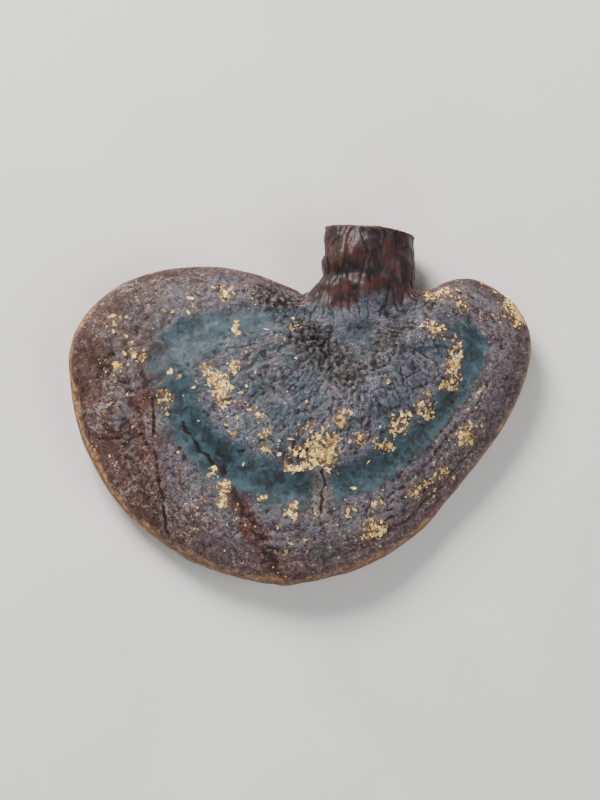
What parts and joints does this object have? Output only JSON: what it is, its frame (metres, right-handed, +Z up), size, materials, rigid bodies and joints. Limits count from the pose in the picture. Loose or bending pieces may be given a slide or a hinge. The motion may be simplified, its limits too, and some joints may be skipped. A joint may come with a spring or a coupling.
{
  "type": "reishi mushroom",
  "caption": "Dried kidney-shaped reishi mushroom, a thick woody cap with dark lacquer-like crust and a short sawn side stem, lying on its pore face.",
  "frame": {"origin": "middle of the footprint's box, on the surface the mushroom lies on", "axes": "+Z up, away from the pore face; +Y towards the stem's sawn end; +X along the cap's longest width, to the right when seen from above with the stem away from the viewer"},
  "size_m": [0.1082, 0.085, 0.0208],
  "materials": {
    "dark_crust": "hard purplish-brown crust with a dull lacquer gloss",
    "pale_flesh": "dry matt corky flesh, golden tan, showing as flakes where the crust has scaled"
  },
  "bodies": {
    "root": {"cap_with_stem": "dark_crust"}
  },
  "joints": []
}
